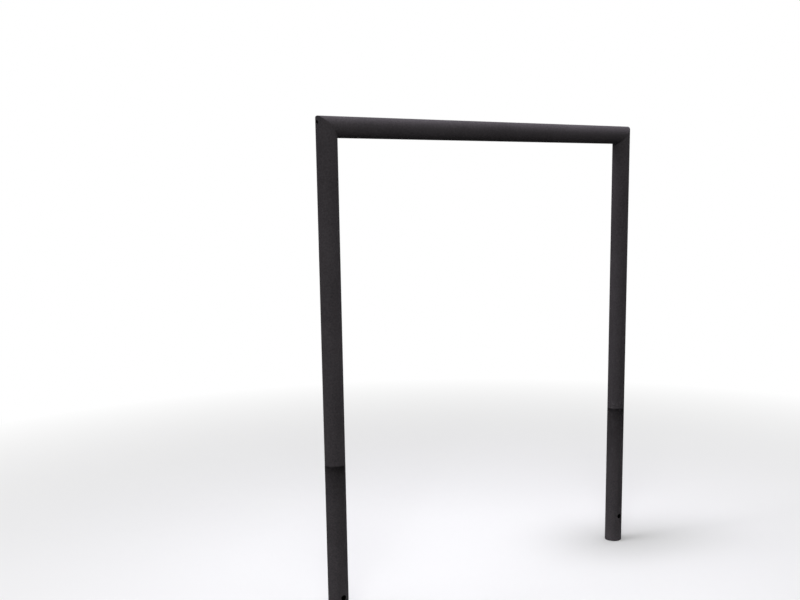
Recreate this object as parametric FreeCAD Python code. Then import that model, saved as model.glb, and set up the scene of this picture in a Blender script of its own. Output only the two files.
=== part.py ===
import FreeCAD, Part
import math
import os

# A street hoop to lean against and lock to: two upright tubes and a top rail, mitred and welded at the corners.
# The legs run on below the ground as roots that are cast in.
# Lengths are in millimetres. The origin is on the ground line, midway between the legs.
# +X runs along the hoop and +Z points up, so everything below z = 0 is buried.

# Size of the whole hoop, over the outside of the tube
OVERALL_WIDTH = 1000.0
HEIGHT_ABOVE_GROUND = 800.0
ROOT_DEPTH = 400.0

# Round tube that the uprights and the rail are cut from
TUBE_DIAMETER = 48.3
TUBE_WALL = 3.2

# Edge broken all round the square-cut lower ends
CUT_EDGE_BREAK = 0.5

# Butt weld through the whole wall of each mitre, dressed flush with the tube
WELD_WIDTH = 4.0

# Hole across both walls of each root, for a bar that keys the root into the concrete
ANCHOR_HOLE_DIAMETER = 14.0
ANCHOR_HOLE_ABOVE_END = 75.0

# Hole in the outer wall of each upright, just under the mitre, that lets gas out when the frame is dip-coated
VENT_HOLE_DIAMETER = 9.0
VENT_HOLE_BELOW_TOP = 14.5

TUBE_RADIUS = TUBE_DIAMETER / 2
BORE_RADIUS = TUBE_RADIUS - TUBE_WALL
LEG_AXIS_X = OVERALL_WIDTH / 2 - TUBE_RADIUS
RAIL_AXIS_Z = HEIGHT_ABOVE_GROUND - TUBE_RADIUS
LEG_END_Z = -ROOT_DEPTH
ANCHOR_HOLE_Z = LEG_END_Z + ANCHOR_HOLE_ABOVE_END
VENT_HOLE_Z = HEIGHT_ABOVE_GROUND - VENT_HOLE_BELOW_TOP

# A cut at 45 degrees stretches the tube's circles into ellipses by this much
MITRE_STRETCH = math.sqrt(2)

SIDES = {"left": -1, "right": 1}
X_AXIS = FreeCAD.Vector(1, 0, 0)
Y_AXIS = FreeCAD.Vector(0, 1, 0)
Z_AXIS = FreeCAD.Vector(0, 0, 1)


def plain_tube(length, start, direction):
    """Straight tube with square ends."""
    outside = Part.makeCylinder(TUBE_RADIUS, length, start, direction)
    bore = Part.makeCylinder(BORE_RADIUS, length, start, direction)
    return outside.cut(bore)


def on_mitre(side, distance):
    """Place on the mitre of one corner: z crosses it from the upright to the rail, x runs to its outer tip."""
    through = FreeCAD.Vector(-side, 0, 1).normalize()
    outwards = FreeCAD.Vector(side, 0, 1).normalize()
    corner = FreeCAD.Vector(side * LEG_AXIS_X, 0, RAIL_AXIS_Z)
    turn = FreeCAD.Rotation(outwards, through.cross(outwards), through)
    return FreeCAD.Placement(corner + through * distance, turn)


def mitre_waste(side, towards_rail):
    """Block that cuts a tube off at the weld's face and takes away what lies past it."""
    reach = 2 * MITRE_STRETCH * TUBE_DIAMETER
    if towards_rail:
        block = Part.makeBox(reach, reach, reach, FreeCAD.Vector(-reach / 2, -reach / 2, 0))
        block.Placement = on_mitre(side, -WELD_WIDTH / 2)
    else:
        block = Part.makeBox(reach, reach, reach, FreeCAD.Vector(-reach / 2, -reach / 2, -reach))
        block.Placement = on_mitre(side, WELD_WIDTH / 2)
    return block


def break_lower_end(tube):
    """Takes the sharp edge off the outside and the bore of an upright's lower end."""
    rims = [edge for edge in tube.Edges if edge.BoundBox.ZMax < LEG_END_Z + CUT_EDGE_BREAK]
    return tube.makeChamfer(CUT_EDGE_BREAK, rims)


def anchor_hole(side):
    """Drill that goes right through a root, square to the hoop."""
    start = FreeCAD.Vector(side * LEG_AXIS_X, -TUBE_DIAMETER, ANCHOR_HOLE_Z)
    return Part.makeCylinder(ANCHOR_HOLE_DIAMETER / 2, 2 * TUBE_DIAMETER, start, Y_AXIS)


def vent_hole(side):
    """Drill that goes in from outside along the rail, as far as the upright's centre line."""
    start = FreeCAD.Vector(side * (LEG_AXIS_X + TUBE_DIAMETER), 0, VENT_HOLE_Z)
    return Part.makeCylinder(VENT_HOLE_DIAMETER / 2, TUBE_DIAMETER, start, X_AXIS * -side)


def upright(side):
    """One leg: root, upright and the lower half of the mitre, with its two drillings."""
    foot = FreeCAD.Vector(side * LEG_AXIS_X, 0, LEG_END_Z)
    tube = plain_tube(HEIGHT_ABOVE_GROUND - LEG_END_Z, foot, Z_AXIS)
    tube = break_lower_end(tube)
    tube = tube.cut(mitre_waste(side, towards_rail=True))
    tube = tube.cut(anchor_hole(side))
    return tube.cut(vent_hole(side))


def top_rail():
    """Level tube across the top, mitred at both ends."""
    start = FreeCAD.Vector(-OVERALL_WIDTH / 2, 0, RAIL_AXIS_Z)
    rail = plain_tube(OVERALL_WIDTH, start, X_AXIS)
    for side in SIDES.values():
        rail = rail.cut(mitre_waste(side, towards_rail=False))
    return rail


def mitred_disc(radius):
    """Slice as thick as the weld, with the outline that a tube of this radius has on the weld's two faces."""
    outline = Part.Ellipse(FreeCAD.Vector(-WELD_WIDTH / 2, 0, 0), radius * MITRE_STRETCH, radius)
    return Part.Face(Part.Wire(outline.toShape())).extrude(Z_AXIS * WELD_WIDTH)


def mitre_weld(side):
    """Weld ring between an upright and the rail: flat across the outer corner and filling the inner one."""
    ring = mitred_disc(TUBE_RADIUS).cut(mitred_disc(BORE_RADIUS))
    ring.Placement = on_mitre(side, -WELD_WIDTH / 2)
    return ring


def save(name, shape):
    shape.exportStep("parts/" + name + ".step")


os.makedirs("parts", exist_ok=True)
save("top_rail", top_rail())
for side_name, side in SIDES.items():
    save(side_name + "_upright", upright(side))
    save(side_name + "_mitre_weld", mitre_weld(side))
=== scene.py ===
import math

import bmesh
import bpy
from bpy.props import FloatProperty, FloatVectorProperty, PointerProperty
from mathutils import Euler, Matrix, Vector
from mathutils.geometry import interpolate_bezier


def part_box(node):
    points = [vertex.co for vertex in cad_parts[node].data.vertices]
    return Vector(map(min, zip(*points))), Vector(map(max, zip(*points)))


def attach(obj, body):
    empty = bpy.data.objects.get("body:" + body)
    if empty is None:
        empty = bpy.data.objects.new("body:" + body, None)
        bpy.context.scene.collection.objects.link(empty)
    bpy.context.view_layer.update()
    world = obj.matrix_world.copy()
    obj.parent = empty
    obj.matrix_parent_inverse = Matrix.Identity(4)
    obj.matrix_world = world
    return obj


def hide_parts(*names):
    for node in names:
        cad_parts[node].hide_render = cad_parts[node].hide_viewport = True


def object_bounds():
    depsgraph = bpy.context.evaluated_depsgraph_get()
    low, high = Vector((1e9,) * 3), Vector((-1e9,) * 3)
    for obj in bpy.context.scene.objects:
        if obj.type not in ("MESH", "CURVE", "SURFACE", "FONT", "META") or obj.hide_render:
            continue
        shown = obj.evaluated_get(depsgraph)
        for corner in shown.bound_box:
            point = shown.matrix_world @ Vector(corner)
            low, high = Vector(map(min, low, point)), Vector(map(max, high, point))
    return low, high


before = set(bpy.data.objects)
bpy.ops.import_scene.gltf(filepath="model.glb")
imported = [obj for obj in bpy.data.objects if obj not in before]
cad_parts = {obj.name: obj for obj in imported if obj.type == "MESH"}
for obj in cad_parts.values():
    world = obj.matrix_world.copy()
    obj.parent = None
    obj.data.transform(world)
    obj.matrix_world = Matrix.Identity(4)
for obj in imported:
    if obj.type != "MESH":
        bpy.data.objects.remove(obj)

# Looks of a street hoop: two upright tubes and a top rail, mitred and welded at the corners,
# under a fine-textured powder coat.
# Lengths are in metres. The origin is on the ground line, midway between the legs.
# +X runs along the hoop from the left leg to the right one, and +Z points up.

bl_info = {
    "name": "Street Hoop",
    "version": (1, 0, 0),
    "blender": (4, 5, 0),
    "location": "View3D > Sidebar > Street Hoop",
    "description": "Builds a street hoop's coated tubes, dressed mitre welds and studio",
    "category": "Object",
}

MM = 0.001
Z_AXIS = Vector((0, 0, 1))
SIDE_NAMES = ("left", "right")
WHITE = (1.0, 1.0, 1.0)

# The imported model's box and the rail's, which the sizes start from
CAD_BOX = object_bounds()
RAIL_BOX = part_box("top_rail")

# Faces round a tube: a multiple of four puts a vertex on each side of it
ROUND_FACES = 96

# Length of the faces on a plain stretch of tube
LONG_STEP = 45 * MM

# The tilting rings at the rail's ends
RAIL_MITRE_STEPS = 8
RAIL_MITRE_LENGTH = 35 * MM

# Faces opened for a hole, counted from its middle along and round the tube
ANCHOR_HALF_BLOCK = 6
VENT_HALF_BLOCK = 4

# Close rows at the vent: how many lie above its middle, and how far they reach below it
ROWS_ABOVE_VENT = 5
ROWS_BELOW_VENT_REACH = 45.5 * MM

# Even faces left beside a hole on the outside and in the bore, and beside a rim
HOLE_MARGIN = 1.3 * MM
BORE_HOLE_MARGIN = 0.3 * MM
RIM_MARGIN = 1.2 * MM

# How the coat rounds the rims
HOLE_RIM_ROUND = 0.35 * MM
END_RIM_ROUND = 0.8 * MM
BORE_RIM_ROUND = 0.5 * MM
RIM_SEGMENTS = 3

# The dressed weld: steps round its bend, straight lead beside each tube, and dip in the middle
WELD_STEPS = 8
WELD_LEAD = 1.5 * MM
WELD_DIP = 0.12 * MM

# The coat's relief: pebbles, and finer grit as a share of their size and of their height
BUMP_STRENGTH = 1.0
PEBBLE_DETAIL = 2.0
GRIT_DETAIL = 1.0
GRIT_SIZE = 0.37
GRIT_SHARE = 0.4

# The coat's uneven tone: small mottles, and a wide drift that counts for a share of them
MOTTLE = {"size": 4 * MM, "detail": 3.0, "roughness": 0.6}
DRIFT = {"size": 120 * MM, "detail": 2.0}
DRIFT_SHARE = 0.5
TONE_RANGE = (0.5, 1.0)
TONE_SWING = 0.26

# The coat's gloss, which follows the mottles and a share of the pebbles
GLOSS_SHARE = 0.5
GLOSS_RANGE = (0.5, 1.0)
GLOSS_SWING = 0.05
COAT_SPECULAR = 0.03

# The coat in the bores and on the holes' walls, with grain twice as wide as the pebbles outside
BORE_GRAIN_SIZE = 2.0
BORE_GRAIN_DETAIL = 3.0
BORE_PATCHES = {"size": 18 * MM, "detail": 4.0, "roughness": 0.65}
BORE_PATCH_RANGE = (0.35, 0.65)
# Tone of that coat against the one outside, far darker: painted shade in the bores and holes
BORE_PAINTED_SHADE_TONE = 0.2
BORE_TONE_SWING = 0.4
BORE_ROUGHNESS = (0.95, 0.85)

# The coat on the welds, a little darker and smoother
WELD_TONE = 0.93
WELD_SMOOTHER = 0.7

# Ripples counted round a weld, and how far each one rises and sinks
WELD_RIPPLES = 56.0
WELD_RIPPLE_RISE = 0.02 * MM

# Noise that shifts the ripples, by up to this many radians
WELD_STRAY = {"size": 5 * MM, "detail": 1.0}
WELD_STRAY_SHIFT = 6.0

# The floor, which fades into the background between two distances
FLOOR_RADIUS = 9.0
FLOOR_FADE = (0.9, 2.8)
FLOOR_MOTTLE = {"size": 0.4, "detail": 4.0}
FLOOR_MOTTLE_RANGE = (0.3, 0.7)
FLOOR_MOTTLE_SWING = 0.005

# Share of its colour that the floor sends on to the hoop, and the larger one close to the roots
FLOOR_BOUNCE = 0.04
ROOT_BOUNCE = 0.9
ROOT_BOUNCE_RADIUS = 0.2

# The ground's surface round each leg, which shades the roots
GROUND_SHADE = 0.9
GROUND_SHADE_RADIUS = 0.2

# The lights, each aimed at its target. A narrow one has a spread in radians.
OVERHEAD_LIGHT = {
    "place": (0.1, 0.25, 1.8),
    "target": (0.0, 0.0, 0.776),
    "size": (2.2, 0.8),
    "colour": (0.93, 0.91, 1.0),
}
MAIN_LIGHT = {
    "place": (-2.2, -2.4, 2.1),
    "target": (0.0, 0.0, 0.3),
    "size": (1.2, 1.2),
}
LOW_LIGHT = {
    "place": (-5.5, 2.0, 0.2),
    "target": (0.0, 0.0, -0.3),
    "size": (1.2, 1.2),
    "spread": 0.3,
}
FRONT_LIGHT = {
    "place": (0.0, -5.0, 0.0),
    "target": (0.0, 0.0, -0.35),
    "size": (1.2, 1.2),
    "spread": 0.3,
}

# The camera, turned by angles in degrees, with its picture shifted off the lens's axis
CAMERA_PLACE = (-1.75672, -2.09870, 0.68484)
CAMERA_TURN = (80.060, 0.0, -39.925)
CAMERA_SHIFT = (-0.1128, 0.0698)
SENSOR_WIDTH = 36.0


class HoopSizes(bpy.types.PropertyGroup):
    overall_width: FloatProperty(
        name="Overall width",
        description="Width over the outside of the tubes",
        default=CAD_BOX[1].x - CAD_BOX[0].x,
        unit="LENGTH",
    )
    height: FloatProperty(
        name="Height",
        description="Height of the top of the rail above the ground line",
        default=CAD_BOX[1].z,
        unit="LENGTH",
    )
    root_depth: FloatProperty(
        name="Root depth",
        description="Length of leg below the ground line",
        default=-CAD_BOX[0].z,
        unit="LENGTH",
    )
    tube_diameter: FloatProperty(
        name="Tube diameter",
        description="Outside diameter of the tube",
        default=RAIL_BOX[1].y - RAIL_BOX[0].y,
        unit="LENGTH",
    )
    tube_wall: FloatProperty(
        name="Tube wall",
        description="Thickness of the tube's wall",
        default=3.2 * MM,
        unit="LENGTH",
    )
    weld_set_back: FloatProperty(
        name="Weld set-back",
        description="How far each tube stops short of the mitre, measured along the tube",
        default=CAD_BOX[1].x - RAIL_BOX[1].x,
        unit="LENGTH",
    )
    anchor_hole_diameter: FloatProperty(
        name="Anchor hole diameter",
        description="Diameter of the hole across each root",
        default=14.0 * MM,
        unit="LENGTH",
    )
    anchor_hole_above_end: FloatProperty(
        name="Anchor hole above end",
        description="Height of the anchor hole's centre above the leg's lower end",
        default=75.0 * MM,
        unit="LENGTH",
    )
    vent_hole_diameter: FloatProperty(
        name="Vent hole diameter",
        description="Diameter of the vent hole in the outer wall of each upright",
        default=9.0 * MM,
        unit="LENGTH",
    )
    vent_hole_below_top: FloatProperty(
        name="Vent hole below top",
        description="Depth of the vent hole's centre below the top of the rail",
        default=14.5 * MM,
        unit="LENGTH",
    )


class HoopFinish(bpy.types.PropertyGroup):
    coat_colour: FloatVectorProperty(
        name="Coat colour",
        description="Colour of the powder coat",
        subtype="COLOR",
        default=(0.0505, 0.0458, 0.0495),
        min=0.0,
        max=1.0,
    )
    coat_roughness: FloatProperty(
        name="Coat roughness",
        description="Roughness of the powder coat",
        subtype="FACTOR",
        default=0.85,
        min=0.0,
        max=1.0,
    )
    grain_size: FloatProperty(
        name="Grain size",
        description="Width of the fine pebbles in the coat's texture",
        default=1.1 * MM,
        unit="LENGTH",
    )
    grain_height: FloatProperty(
        name="Grain height",
        description="Full range of the coat's relief, of which the pebbles take about a third",
        default=0.3 * MM,
        unit="LENGTH",
    )


class HoopStage(bpy.types.PropertyGroup):
    floor_colour: FloatVectorProperty(
        name="Floor colour",
        description="Colour of the plain floor",
        subtype="COLOR",
        default=(0.825, 0.83, 0.815),
        min=0.0,
        max=1.0,
    )
    overhead_power: FloatProperty(
        name="Overhead light",
        description="Power of the large soft light above the hoop",
        subtype="POWER",
        default=39.0,
        min=0.0,
    )
    main_power: FloatProperty(
        name="Main light",
        description="Power of the soft light above the camera and a little behind it",
        subtype="POWER",
        default=38.0,
        min=0.0,
    )
    low_power: FloatProperty(
        name="Low light",
        description="Power of the narrow low light from the left, a little behind the hoop",
        subtype="POWER",
        default=1.7,
        min=0.0,
    )
    front_power: FloatProperty(
        name="Front light",
        description="Power of the narrow low light on the roots from in front of the hoop",
        subtype="POWER",
        default=0.75,
        min=0.0,
    )
    surroundings: FloatProperty(
        name="Surroundings",
        description="Strength of the plain light from all round",
        default=0.45,
        min=0.0,
    )
    lens: FloatProperty(
        name="Lens",
        description="Focal length of the camera, with a sensor 36 mm wide",
        default=48.13,
        unit="CAMERA",
    )


def tube_radius(sizes):
    return sizes.tube_diameter / 2


def bore_radius(sizes):
    return sizes.tube_diameter / 2 - sizes.tube_wall


def leg_axis_x(sizes):
    return sizes.overall_width / 2 - tube_radius(sizes)


def rail_axis_z(sizes):
    return sizes.height - tube_radius(sizes)


def anchor_height(sizes):
    return sizes.anchor_hole_above_end - sizes.root_depth


def vent_height(sizes):
    return sizes.height - sizes.vent_hole_below_top


# Drawing, drilling and rounding, the same for every piece


def level(height, slope=0.0):
    """Place of a ring on the z axis, tilted so that it rises towards +X with the slope."""
    place = Matrix.Translation((0, 0, height))
    place[2][0] = slope
    return place


def even_places(start, end, steps, slope=0.0):
    """Rings from a square one at start to one at end with this slope, without the one at start."""
    return [
        level(start + (end - start) * step / steps, slope * step / steps)
        for step in range(1, steps + 1)
    ]


def long_steps(start, end):
    """Number of rows that a plain stretch of tube is drawn with."""
    return max(1, round((end - start) / LONG_STEP))


def round_angle(faces):
    """Angle that this many faces take up round a tube."""
    return faces * math.tau / ROUND_FACES


def draw_ring(bm, ring, move):
    """Extrudes a ring of edges and moves the new one. Returns the new ring's edges."""
    made = bmesh.ops.extrude_edge_only(bm, edges=ring)["geom"]
    verts = [item for item in made if isinstance(item, bmesh.types.BMVert)]
    bmesh.ops.transform(bm, matrix=move, verts=verts)
    return [item for item in made if isinstance(item, bmesh.types.BMEdge)]


def draw_wall(bm, radius, places):
    """Draws a circle from place to place. Returns its first and last ring of edges."""
    circle = bmesh.ops.create_circle(
        bm, cap_ends=False, segments=ROUND_FACES, radius=radius, matrix=places[0]
    )
    first = list({edge for vert in circle["verts"] for edge in vert.link_edges})
    last = first
    for here, there in zip(places, places[1:]):
        last = draw_ring(bm, last, there @ here.inverted())
    return first, last


class Hole:
    """A round hole in an upright's wall, in the block of faces that is opened for it."""

    def __init__(self, radius, height, towards, half_height, half_block, margin):
        self.radius = radius
        self.height = height
        self.towards = towards
        self.across = towards.cross(Z_AXIS)
        self.half_height = half_height
        self.half_angle = round_angle(half_block)
        self.margin = margin

    def takes(self, face, wall_radius):
        """True for a face of this wall that lies in the hole's block."""
        centre = face.calc_center_median()
        out = centre.xy.to_3d()
        if abs(out.length - wall_radius) > MM or out.angle(self.towards) > self.half_angle:
            return False
        return abs(centre.z - self.height) < self.half_height

    def seat(self, vert, wall_radius, hole_radius):
        """Moves a vertex of the block's edge to this radius round the hole, on the wall."""
        aside = vert.co.dot(self.across) / (wall_radius * math.sin(self.half_angle))
        above = (vert.co.z - self.height) / self.half_height
        reach = math.hypot(aside, above)
        aside *= hole_radius / reach
        above *= hole_radius / reach
        depth = math.sqrt(wall_radius**2 - aside**2)
        vert.co = self.across * aside + self.towards * depth + Z_AXIS * (self.height + above)

    def open(self, bm, wall_radius):
        """Opens the hole in one wall. Returns the edges of its rim."""
        block = {face for face in bm.faces if self.takes(face, wall_radius)}
        edges = {edge for face in block for edge in face.edges}
        rim = [edge for edge in edges if len(block.intersection(edge.link_faces)) == 1]
        bmesh.ops.delete(bm, geom=list(block), context="FACES")
        for hole_radius in (self.radius + self.margin, self.radius):
            rim = draw_ring(bm, rim, Matrix.Identity(4))
            for vert in {vert for edge in rim for vert in edge.verts}:
                self.seat(vert, wall_radius, hole_radius)
        return rim


def draw_shell(bm, sizes, places_of, holes_of=lambda radius: ()):
    """Draws the outer wall and the bore with their holes, and joins them.

    Returns the rims of the outer wall and of the bore, each as its two ends and then its holes.
    The bore's faces are turned to its axis. They and the holes' walls take the second material.
    """
    rims = []
    for index, radius in enumerate((tube_radius(sizes), bore_radius(sizes))):
        before = set(bm.faces)
        ends = draw_wall(bm, radius, places_of(radius))
        rims.append([*ends, *(hole.open(bm, radius) for hole in holes_of(radius))])
        wall = list(set(bm.faces) - before)
        for face in wall:
            # The bore takes the second material, whose darker tone is painted shade
            face.material_index = index
        if index:
            bmesh.ops.reverse_faces(bm, faces=wall)
    for place, (outer, inner) in enumerate(zip(*rims)):
        for face in bmesh.ops.bridge_loops(bm, edges=outer + inner)["faces"]:
            # The holes' walls take the second material too, with its painted shade
            face.material_index = 0 if place < 2 else 1
    return rims


def round_rim(bm, edges, radius):
    """Rounds a rim as the coat does over a broken edge. The rounding takes the first material."""
    rounding = bmesh.ops.bevel(
        bm,
        geom=edges,
        offset=radius,
        offset_type="OFFSET",
        segments=RIM_SEGMENTS,
        profile=0.5,
        affect="EDGES",
        material=-1,
    )
    for face in rounding["faces"]:
        face.material_index = 0


def keep_sharp(*rims):
    """Stops smooth shading at these rims."""
    for rim in rims:
        for edge in rim:
            edge.smooth = False


def make_mesh(bm, name, materials):
    """Turns a finished drawing into a mesh with these materials."""
    mesh = bpy.data.meshes.new(name)
    bm.to_mesh(mesh)
    bm.free()
    for material in materials:
        mesh.materials.append(material)
    return mesh


def add_to_scene(name, data):
    """Puts a mesh, light or camera into the scene. Returns its object."""
    made = bpy.data.objects.new(name, data)
    bpy.context.scene.collection.objects.link(made)
    return made


def finish_piece(bm, name, materials):
    """Makes a closed shell into a piece that stands for the node of the same name."""
    for face in bm.faces:
        face.smooth = True
    piece = add_to_scene("coated_" + name, make_mesh(bm, name, materials))
    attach(piece, "root")
    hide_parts(name)


def turn_to(bm, side_name):
    """Turns what was made on the right round to the left."""
    if side_name == "left":
        bmesh.ops.transform(bm, matrix=Matrix.Rotation(math.pi, 4, "Z"), verts=bm.verts)


# The uprights, drawn on the z axis with +X outwards


def anchor_half_height(sizes):
    """Makes the block that is opened for an anchor hole as tall as it is wide."""
    return tube_radius(sizes) * math.sin(round_angle(ANCHOR_HALF_BLOCK))


def vent_row_height(sizes, wall_radius):
    """Height of the wall's rows at the vent, which end with the mitre's tip."""
    tip = rail_axis_z(sizes) - sizes.weld_set_back + wall_radius
    return (tip - vent_height(sizes)) / ROWS_ABOVE_VENT


def upright_places(sizes, wall_radius):
    """Rings of one wall from the lower end to the mitre, closer together at the holes."""
    foot = -sizes.root_depth
    above_rim = foot + END_RIM_ROUND + RIM_MARGIN
    block = anchor_half_height(sizes)
    under_hole = anchor_height(sizes) - block
    over_hole = anchor_height(sizes) + block
    row = vent_row_height(sizes, wall_radius)
    rows_below = round(ROWS_BELOW_VENT_REACH / row)
    mitre_start = vent_height(sizes) - rows_below * row
    mitre_end = rail_axis_z(sizes) - sizes.weld_set_back
    return [
        level(foot),
        level(above_rim),
        *even_places(above_rim, under_hole, long_steps(above_rim, under_hole)),
        *even_places(under_hole, over_hole, 2 * ANCHOR_HALF_BLOCK),
        *even_places(over_hole, mitre_start, long_steps(over_hole, mitre_start)),
        *even_places(mitre_start, mitre_end, rows_below + ROWS_ABOVE_VENT, slope=1.0),
    ]


def upright_holes(sizes, wall_radius):
    """The anchor hole's two openings and the vent hole, for one wall."""
    on_outside = wall_radius == tube_radius(sizes)
    margin = HOLE_MARGIN if on_outside else BORE_HOLE_MARGIN
    anchors = [
        Hole(
            sizes.anchor_hole_diameter / 2,
            anchor_height(sizes),
            Vector((0, way, 0)),
            anchor_half_height(sizes),
            ANCHOR_HALF_BLOCK,
            margin,
        )
        for way in (-1, 1)
    ]
    vent = Hole(
        sizes.vent_hole_diameter / 2,
        vent_height(sizes),
        Vector((1, 0, 0)),
        vent_row_height(sizes, wall_radius) * VENT_HALF_BLOCK,
        VENT_HALF_BLOCK,
        margin,
    )
    return [*anchors, vent]


def make_upright(sizes, side_name, materials):
    """One leg with its root, its rounded lower end, its holes and its mitre."""
    bm = bmesh.new()
    outer, inner = draw_shell(
        bm,
        sizes,
        lambda radius: upright_places(sizes, radius),
        lambda radius: upright_holes(sizes, radius),
    )
    foot_rim, mitre_rim, *hole_rims = outer
    bore_foot_rim, bore_mitre_rim, *bore_hole_rims = inner
    keep_sharp(mitre_rim, bore_mitre_rim, *bore_hole_rims)
    for rim in hole_rims:
        round_rim(bm, rim, HOLE_RIM_ROUND)
    round_rim(bm, foot_rim, END_RIM_ROUND)
    round_rim(bm, bore_foot_rim, BORE_RIM_ROUND)
    bmesh.ops.transform(bm, matrix=Matrix.Translation((leg_axis_x(sizes), 0, 0)), verts=bm.verts)
    turn_to(bm, side_name)
    finish_piece(bm, side_name + "_upright", materials)


# The top rail, drawn on the z axis with +X upwards and then laid along the hoop


def rail_places(sizes):
    """Rings from the left mitre to the right one."""
    mitre_end = leg_axis_x(sizes) - sizes.weld_set_back
    mitre_start = mitre_end - RAIL_MITRE_LENGTH
    right_mitre = even_places(mitre_start, mitre_end, RAIL_MITRE_STEPS, slope=1.0)
    left_mitre = even_places(-mitre_start, -mitre_end, RAIL_MITRE_STEPS, slope=-1.0)
    return [
        *reversed(left_mitre),
        level(-mitre_start),
        *even_places(-mitre_start, mitre_start, long_steps(-mitre_start, mitre_start)),
        *right_mitre,
    ]


def make_top_rail(sizes, materials):
    """The level tube, mitred at both ends."""
    bm = bmesh.new()
    outer, inner = draw_shell(bm, sizes, lambda radius: rail_places(sizes))
    keep_sharp(*outer, *inner)
    lay_down = Matrix.Rotation(math.pi, 4, Vector((1, 0, 1)))
    lift = Matrix.Translation((0, 0, rail_axis_z(sizes)))
    bmesh.ops.transform(bm, matrix=lift @ lay_down, verts=bm.verts)
    finish_piece(bm, "top_rail", materials)


# The mitre welds, each a band drawn from the upright's mitre round to the rail's


def weld_places(sizes, dip):
    """Rings across the weld's band, which leads off straight from both tubes and bends between.

    The dip is how far the band's middle is dressed below the tubes, as a share of the radius.
    """
    bend = sizes.weld_set_back - WELD_LEAD
    handle = bend / 3
    curve = interpolate_bezier((0, -bend), (0, -handle), (-handle, 0), (-bend, 0), WELD_STEPS + 1)
    path = [Vector((0, -sizes.weld_set_back)), *curve, Vector((-sizes.weld_set_back, 0))]
    places = []
    for index, offset in enumerate(path):
        share = index / (len(path) - 1)
        size = 1 - dip * math.sin(math.pi * share) ** 2
        corner = Vector((leg_axis_x(sizes) + offset[0], 0, rail_axis_z(sizes) + offset[1]))
        shrink = Matrix.Diagonal((size, size, 1, 1))
        places.append(Matrix.Translation(corner) @ level(0, slope=1.0) @ shrink)
    return places


def make_mitre_weld(sizes, side_name, materials):
    """Ring of weld through the whole wall of the mitre, dressed smooth with the tubes."""
    bm = bmesh.new()
    outer, inner = draw_shell(bm, sizes, lambda radius: weld_places(sizes, WELD_DIP / radius))
    keep_sharp(*outer, *inner)
    turn_to(bm, side_name)
    finish_piece(bm, side_name + "_mitre_weld", materials)


# Finishes, as nodes on each piece's own object coordinates


class NodeTree:
    """A node tree that is emptied and then filled node by node."""

    def __init__(self, tree):
        self.tree = tree
        tree.nodes.clear()

    def add(self, kind, inputs=None, **settings):
        """Adds a node. Its inputs are given as plain values or as the outputs that feed them."""
        node = self.tree.nodes.new("ShaderNode" + kind)
        for name, value in settings.items():
            setattr(node, name, value)
        for name, value in (inputs or {}).items():
            self.feed(node.inputs[name], value)
        return node

    def feed(self, socket, value):
        if isinstance(value, bpy.types.NodeSocket):
            self.tree.links.new(value, socket)
        else:
            socket.default_value = value

    def place(self):
        """Place on the object."""
        return self.add("TexCoord").outputs["Object"]

    def noise(self, size, detail, roughness=0.5):
        """Noise with features of about this size, between 0 and 1."""
        settings = {
            "Vector": self.place(),
            "Scale": 1 / size,
            "Detail": detail,
            "Roughness": roughness,
        }
        return self.add("TexNoise", settings).outputs["Fac"]

    def maths(self, operation, *values):
        """A sum, product or other operation on numbers."""
        return self.add("Math", dict(enumerate(values)), operation=operation).outputs[0]

    def spread(self, value, low, high, to_low, to_high):
        """Stretches a value's range to another one, and clamps it there."""
        settings = {
            "Value": value,
            "From Min": low,
            "From Max": high,
            "To Min": to_low,
            "To Max": to_high,
        }
        return self.add("MapRange", settings, clamp=True).outputs["Result"]

    def shade(self, value, dark, light):
        """Colour between two others."""
        ramp = self.add("ValToRGB", {"Fac": value})
        ramp.color_ramp.elements[0].color = (*dark, 1.0)
        ramp.color_ramp.elements[1].color = (*light, 1.0)
        return ramp.outputs["Color"]

    def uneven(self, value, colour, tone, swing):
        """Tone of a colour that swings by a share of itself, from dark at 0 to light at 1."""
        dark = times(colour, tone * (1 - swing))
        light = times(colour, tone * (1 + swing))
        return self.shade(value, dark, light)

    def bump(self, height, distance, under=None):
        """Direction of a surface with this relief, laid over any relief under it."""
        settings = {"Strength": BUMP_STRENGTH, "Distance": distance, "Height": height}
        if under is not None:
            settings["Normal"] = under
        return self.add("Bump", settings).outputs["Normal"]

    def coat(self, colour, roughness, normal):
        """Finishes a material as a coat with hardly any shine."""
        settings = {
            "Base Color": colour,
            "Roughness": roughness,
            "Specular IOR Level": COAT_SPECULAR,
            "Normal": normal,
        }
        self.output(self.add("BsdfPrincipled", settings).outputs["BSDF"])

    def mix(self, share, first, second):
        """Finishes a material as one surface that gives way to another by this share."""
        self.output(self.add("MixShader", {0: share, 1: first, 2: second}).outputs["Shader"])

    def output(self, shader, kind="OutputMaterial"):
        self.add(kind, {"Surface": shader})


def material_nodes(name):
    material = bpy.data.materials.new(name)
    material.use_nodes = True
    return material, NodeTree(material.node_tree)


def times(colour, share):
    """Colour made darker or lighter by this share."""
    return [channel * share for channel in colour]


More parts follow.
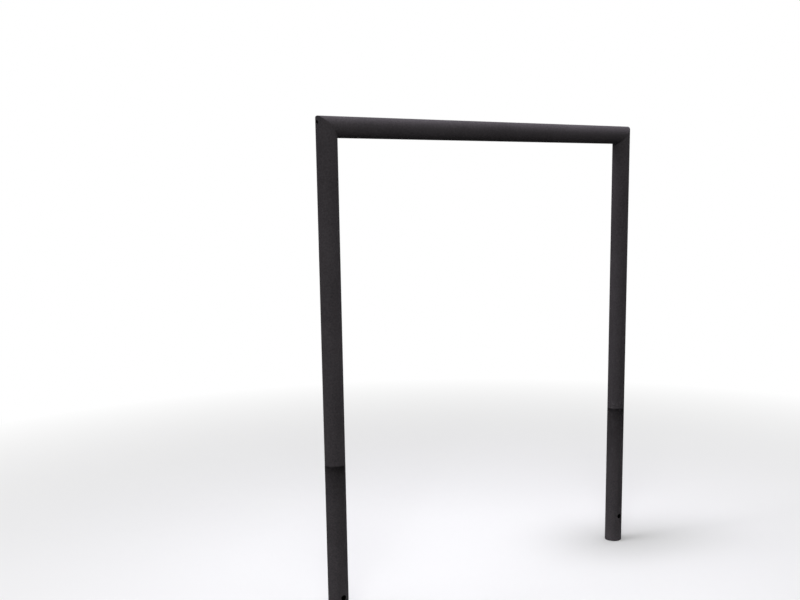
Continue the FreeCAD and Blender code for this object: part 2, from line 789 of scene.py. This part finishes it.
def powder_coat(name, finish, tone=1.0, smoother=1.0, ripple=None):
    """Matt powder coat with a fine pebbled texture, slightly uneven in tone and gloss."""
    material, nodes = material_nodes(name)
    pebbles = nodes.noise(finish.grain_size, PEBBLE_DETAIL)
    grit = nodes.noise(finish.grain_size * GRIT_SIZE, GRIT_DETAIL)
    mottle = nodes.noise(**MOTTLE)
    drift = nodes.noise(**DRIFT)

    relief = nodes.maths("MULTIPLY_ADD", grit, GRIT_SHARE, pebbles)
    normal = nodes.bump(relief, finish.grain_height * smoother)
    if ripple:
        normal = ripple(nodes, normal)

    unevenness = nodes.maths("MULTIPLY_ADD", drift, DRIFT_SHARE, mottle)
    tone_place = nodes.spread(unevenness, *TONE_RANGE, 0.0, 1.0)
    colour = nodes.uneven(tone_place, finish.coat_colour, tone, TONE_SWING)
    gloss = nodes.maths("MULTIPLY_ADD", pebbles, GLOSS_SHARE, mottle)
    roughness = nodes.spread(
        gloss,
        *GLOSS_RANGE,
        finish.coat_roughness - GLOSS_SWING,
        finish.coat_roughness + GLOSS_SWING,
    )
    nodes.coat(colour, roughness, normal)
    return material


def shaded_bore_coat(name, finish):
    """The coat in the bores and holes: rougher than outside, and darker as painted shade."""
    material, nodes = material_nodes(name)
    patches = nodes.noise(**BORE_PATCHES)
    grain = nodes.noise(finish.grain_size * BORE_GRAIN_SIZE, BORE_GRAIN_DETAIL)
    tone_place = nodes.spread(patches, *BORE_PATCH_RANGE, 0.0, 1.0)
    # Painted shade: a tone far darker than the coat outside
    colour = nodes.uneven(tone_place, finish.coat_colour, BORE_PAINTED_SHADE_TONE, BORE_TONE_SWING)
    roughness = nodes.spread(patches, *BORE_PATCH_RANGE, *BORE_ROUGHNESS)
    nodes.coat(colour, roughness, nodes.bump(grain, finish.grain_height))
    return material


def round_the_weld(sizes):
    """Faint ripples left by dressing, counted round the weld."""

    def ripple(nodes, normal):
        parts = nodes.add("SeparateXYZ", {"Vector": nodes.place()})
        up = nodes.maths("SUBTRACT", parts.outputs["Z"], rail_axis_z(sizes))
        angle = nodes.maths("ARCTAN2", parts.outputs["Y"], up)
        stray = nodes.maths("MULTIPLY", nodes.noise(**WELD_STRAY), WELD_STRAY_SHIFT)
        turns = nodes.maths("MULTIPLY_ADD", angle, WELD_RIPPLES, stray)
        return nodes.bump(nodes.maths("SINE", turns), WELD_RIPPLE_RISE, normal)

    return ripple


def coats(finish, name, **changes):
    """The outer coat of this name and the bore's painted-shade coat, each made when it is first
    asked for.
    """
    outer = bpy.data.materials.get(name) or powder_coat(name, finish, **changes)
    bore = bpy.data.materials.get("shaded_bore_coat") or shaded_bore_coat("shaded_bore_coat", finish)
    return [outer, bore]


def tube_materials(scene):
    """The tubes' coat, and that of their bores, darkened as painted shade."""
    return coats(scene.hoop_finish, "powder_coat")


def weld_materials(scene):
    """The coat over a dressed weld, and that of its bore, darkened as painted shade."""
    return coats(
        scene.hoop_finish,
        "weld_coat",
        tone=WELD_TONE,
        smoother=WELD_SMOOTHER,
        ripple=round_the_weld(scene.hoop_sizes),
    )


# The stage: floor, ground shade, surroundings, lights and camera


def seen_or_mirrored(nodes):
    """1 for rays from the camera and for those that gloss and glass send on, 0 for lighting."""
    path = nodes.add("LightPath").outputs
    either = nodes.maths("MAXIMUM", path["Is Camera Ray"], path["Is Glossy Ray"])
    return nodes.maths("MAXIMUM", either, path["Is Transmission Ray"])


def from_the_legs(nodes, sizes, height):
    """Distance from the nearer leg's centre line, on a level surface at this height."""
    folded = nodes.add("VectorMath", {0: nodes.place()}, operation="ABSOLUTE").outputs["Vector"]
    centre = (leg_axis_x(sizes), 0.0, abs(height))
    distance = nodes.add("VectorMath", {0: folded, 1: centre}, operation="DISTANCE")
    return distance.outputs["Value"]


def level_discs(name, radius, places, material):
    """Flat, level discs of one size. Returns the one object that they make."""
    bm = bmesh.new()
    for place in places:
        bmesh.ops.create_circle(
            bm,
            cap_ends=True,
            segments=ROUND_FACES,
            radius=radius,
            matrix=Matrix.Translation(place),
        )
    return add_to_scene(name, make_mesh(bm, name, [material]))


def floor_finish(sizes, stage):
    """Plain pale floor that takes the hoop's shadow and fades far away into the background.

    It sends little light on to the hoop, except close to the roots.
    """
    material, nodes = material_nodes("studio_floor")
    pale = tuple(stage.floor_colour)
    seen = seen_or_mirrored(nodes)
    mottle = nodes.spread(nodes.noise(**FLOOR_MOTTLE), *FLOOR_MOTTLE_RANGE, 0.0, 1.0)
    shown = nodes.uneven(mottle, pale, 1.0, FLOOR_MOTTLE_SWING)
    legs = from_the_legs(nodes, sizes, -sizes.root_depth)
    near = nodes.spread(legs, tube_radius(sizes), ROOT_BOUNCE_RADIUS, 1.0, 0.0)
    bounce = nodes.shade(near, times(pale, FLOOR_BOUNCE), times(pale, ROOT_BOUNCE))
    colour = nodes.add("MixRGB", {"Fac": seen, "Color1": bounce, "Color2": shown})
    matt = nodes.add("BsdfDiffuse", {"Color": colour.outputs["Color"]})
    white = nodes.add("Emission", {"Color": (*WHITE, 1.0), "Strength": 1.0})
    distance = nodes.add("VectorMath", {0: nodes.place()}, operation="LENGTH").outputs["Value"]
    far = nodes.spread(distance, *FLOOR_FADE, 0.0, 1.0)
    fade = nodes.maths("MULTIPLY", far, seen)
    nodes.mix(fade, matt.outputs["BSDF"], white.outputs["Emission"])
    return material


def make_floor(sizes, stage):
    places = [(0, 0, -sizes.root_depth)]
    floor = level_discs("studio_floor", FLOOR_RADIUS, places, floor_finish(sizes, stage))


def ground_shade_finish(sizes):
    """Stands in for the ground's surface round a leg. Unseen, it keeps light from the root."""
    material, nodes = material_nodes("ground_shade")
    legs = from_the_legs(nodes, sizes, 0.0)
    near = nodes.spread(legs, tube_radius(sizes), GROUND_SHADE_RADIUS, GROUND_SHADE, 0.0)
    unseen = nodes.maths("SUBTRACT", 1.0, seen_or_mirrored(nodes))
    share = nodes.maths("MULTIPLY", near, unseen)
    through = nodes.add("BsdfTransparent", {"Color": (*WHITE, 1.0)})
    matt = nodes.add("BsdfDiffuse", {"Color": (*times(WHITE, FLOOR_BOUNCE), 1.0)})
    nodes.mix(share, through.outputs["BSDF"], matt.outputs["BSDF"])
    return material


def make_ground_shade(sizes):
    places = [(side * leg_axis_x(sizes), 0, 0) for side in (-1, 1)]
    shade = level_discs("ground_shade", GROUND_SHADE_RADIUS, places, ground_shade_finish(sizes))


def make_surroundings(stage):
    """White background, and a weaker plain light from it on the hoop."""
    world = bpy.data.worlds.new("plain_white")
    world.use_nodes = True
    nodes = NodeTree(world.node_tree)
    strength = nodes.spread(seen_or_mirrored(nodes), 0.0, 1.0, stage.surroundings, 1.0)
    background = nodes.add("Background", {"Color": (*WHITE, 1.0), "Strength": strength})
    nodes.output(background.outputs["Background"], "OutputWorld")
    bpy.context.scene.world = world


def make_light(name, power, place, target, size, colour=WHITE, spread=math.pi):
    """Rectangular light that is aimed at its target."""
    light = bpy.data.lights.new(name, "AREA")
    light.color = colour
    light.spread = spread
    light.shape = "RECTANGLE"
    light.size, light.size_y = size
    light.energy = power
    lamp = add_to_scene(name, light)
    lamp.location = place
    lamp.rotation_euler = (Vector(target) - Vector(place)).to_track_quat("-Z", "Y").to_euler()


def make_camera(stage):
    camera = bpy.data.cameras.new("camera")
    camera.sensor_width = SENSOR_WIDTH
    camera.lens = stage.lens
    camera.shift_x, camera.shift_y = CAMERA_SHIFT
    eye = add_to_scene("camera", camera)
    eye.location = CAMERA_PLACE
    eye.rotation_euler = Euler([math.radians(angle) for angle in CAMERA_TURN])
    bpy.context.scene.camera = eye


# Commands and their panel


class HOOP_OT_uprights(bpy.types.Operator):
    """Make the two coated uprights, with their anchor and vent holes"""

    bl_idname = "hoop.uprights"
    bl_label = "Uprights"

    def execute(self, context):
        scene = context.scene
        for side_name in SIDE_NAMES:
            make_upright(scene.hoop_sizes, side_name, tube_materials(scene))
        return {"FINISHED"}


class HOOP_OT_top_rail(bpy.types.Operator):
    """Make the coated top rail, mitred at both ends"""

    bl_idname = "hoop.top_rail"
    bl_label = "Top Rail"

    def execute(self, context):
        scene = context.scene
        make_top_rail(scene.hoop_sizes, tube_materials(scene))
        return {"FINISHED"}


class HOOP_OT_mitre_welds(bpy.types.Operator):
    """Make the two dressed welds that join the uprights and the rail"""

    bl_idname = "hoop.mitre_welds"
    bl_label = "Mitre Welds"

    def execute(self, context):
        scene = context.scene
        for side_name in SIDE_NAMES:
            make_mitre_weld(scene.hoop_sizes, side_name, weld_materials(scene))
        return {"FINISHED"}


class HOOP_OT_stage(bpy.types.Operator):
    """Make the floor, the ground's shade, the white surroundings, the lights and the camera"""

    bl_idname = "hoop.stage"
    bl_label = "Stage"

    def execute(self, context):
        scene = context.scene
        stage = scene.hoop_stage
        make_floor(scene.hoop_sizes, stage)
        make_ground_shade(scene.hoop_sizes)
        make_surroundings(stage)
        make_light("overhead_light", stage.overhead_power, **OVERHEAD_LIGHT)
        make_light("main_light", stage.main_power, **MAIN_LIGHT)
        make_light("low_light", stage.low_power, **LOW_LIGHT)
        make_light("front_light", stage.front_power, **FRONT_LIGHT)
        make_camera(stage)
        scene.view_settings.view_transform = "Standard"
        return {"FINISHED"}


class HOOP_PT_sidebar(bpy.types.Panel):
    """The hoop's sizes, finish and stage, and a button for each group of pieces"""

    bl_idname = "HOOP_PT_sidebar"
    bl_label = "Street Hoop"
    bl_space_type = "VIEW_3D"
    bl_region_type = "UI"
    bl_category = "Street Hoop"

    def draw(self, context):
        layout = self.layout
        for group_name, group_type in GROUPS.items():
            group = getattr(context.scene, group_name)
            box = layout.box()
            for name in group_type.__annotations__:
                box.prop(group, name)
        for operator in OPERATORS:
            layout.operator(operator.bl_idname)


OPERATORS = (HOOP_OT_uprights, HOOP_OT_top_rail, HOOP_OT_mitre_welds, HOOP_OT_stage)
GROUPS = {"hoop_sizes": HoopSizes, "hoop_finish": HoopFinish, "hoop_stage": HoopStage}


def register():
    for each in (*GROUPS.values(), *OPERATORS, HOOP_PT_sidebar):
        bpy.utils.register_class(each)
    for name, group in GROUPS.items():
        setattr(bpy.types.Scene, name, PointerProperty(type=group))


def unregister():
    for name in GROUPS:
        delattr(bpy.types.Scene, name)
    for each in reversed((*GROUPS.values(), *OPERATORS, HOOP_PT_sidebar)):
        bpy.utils.unregister_class(each)


def main():
    register()
    bpy.ops.hoop.uprights()
    bpy.ops.hoop.top_rail()
    bpy.ops.hoop.mitre_welds()
    bpy.ops.hoop.stage()
    bpy.context.view_layer.update()


if __name__ == "__main__":
    main()
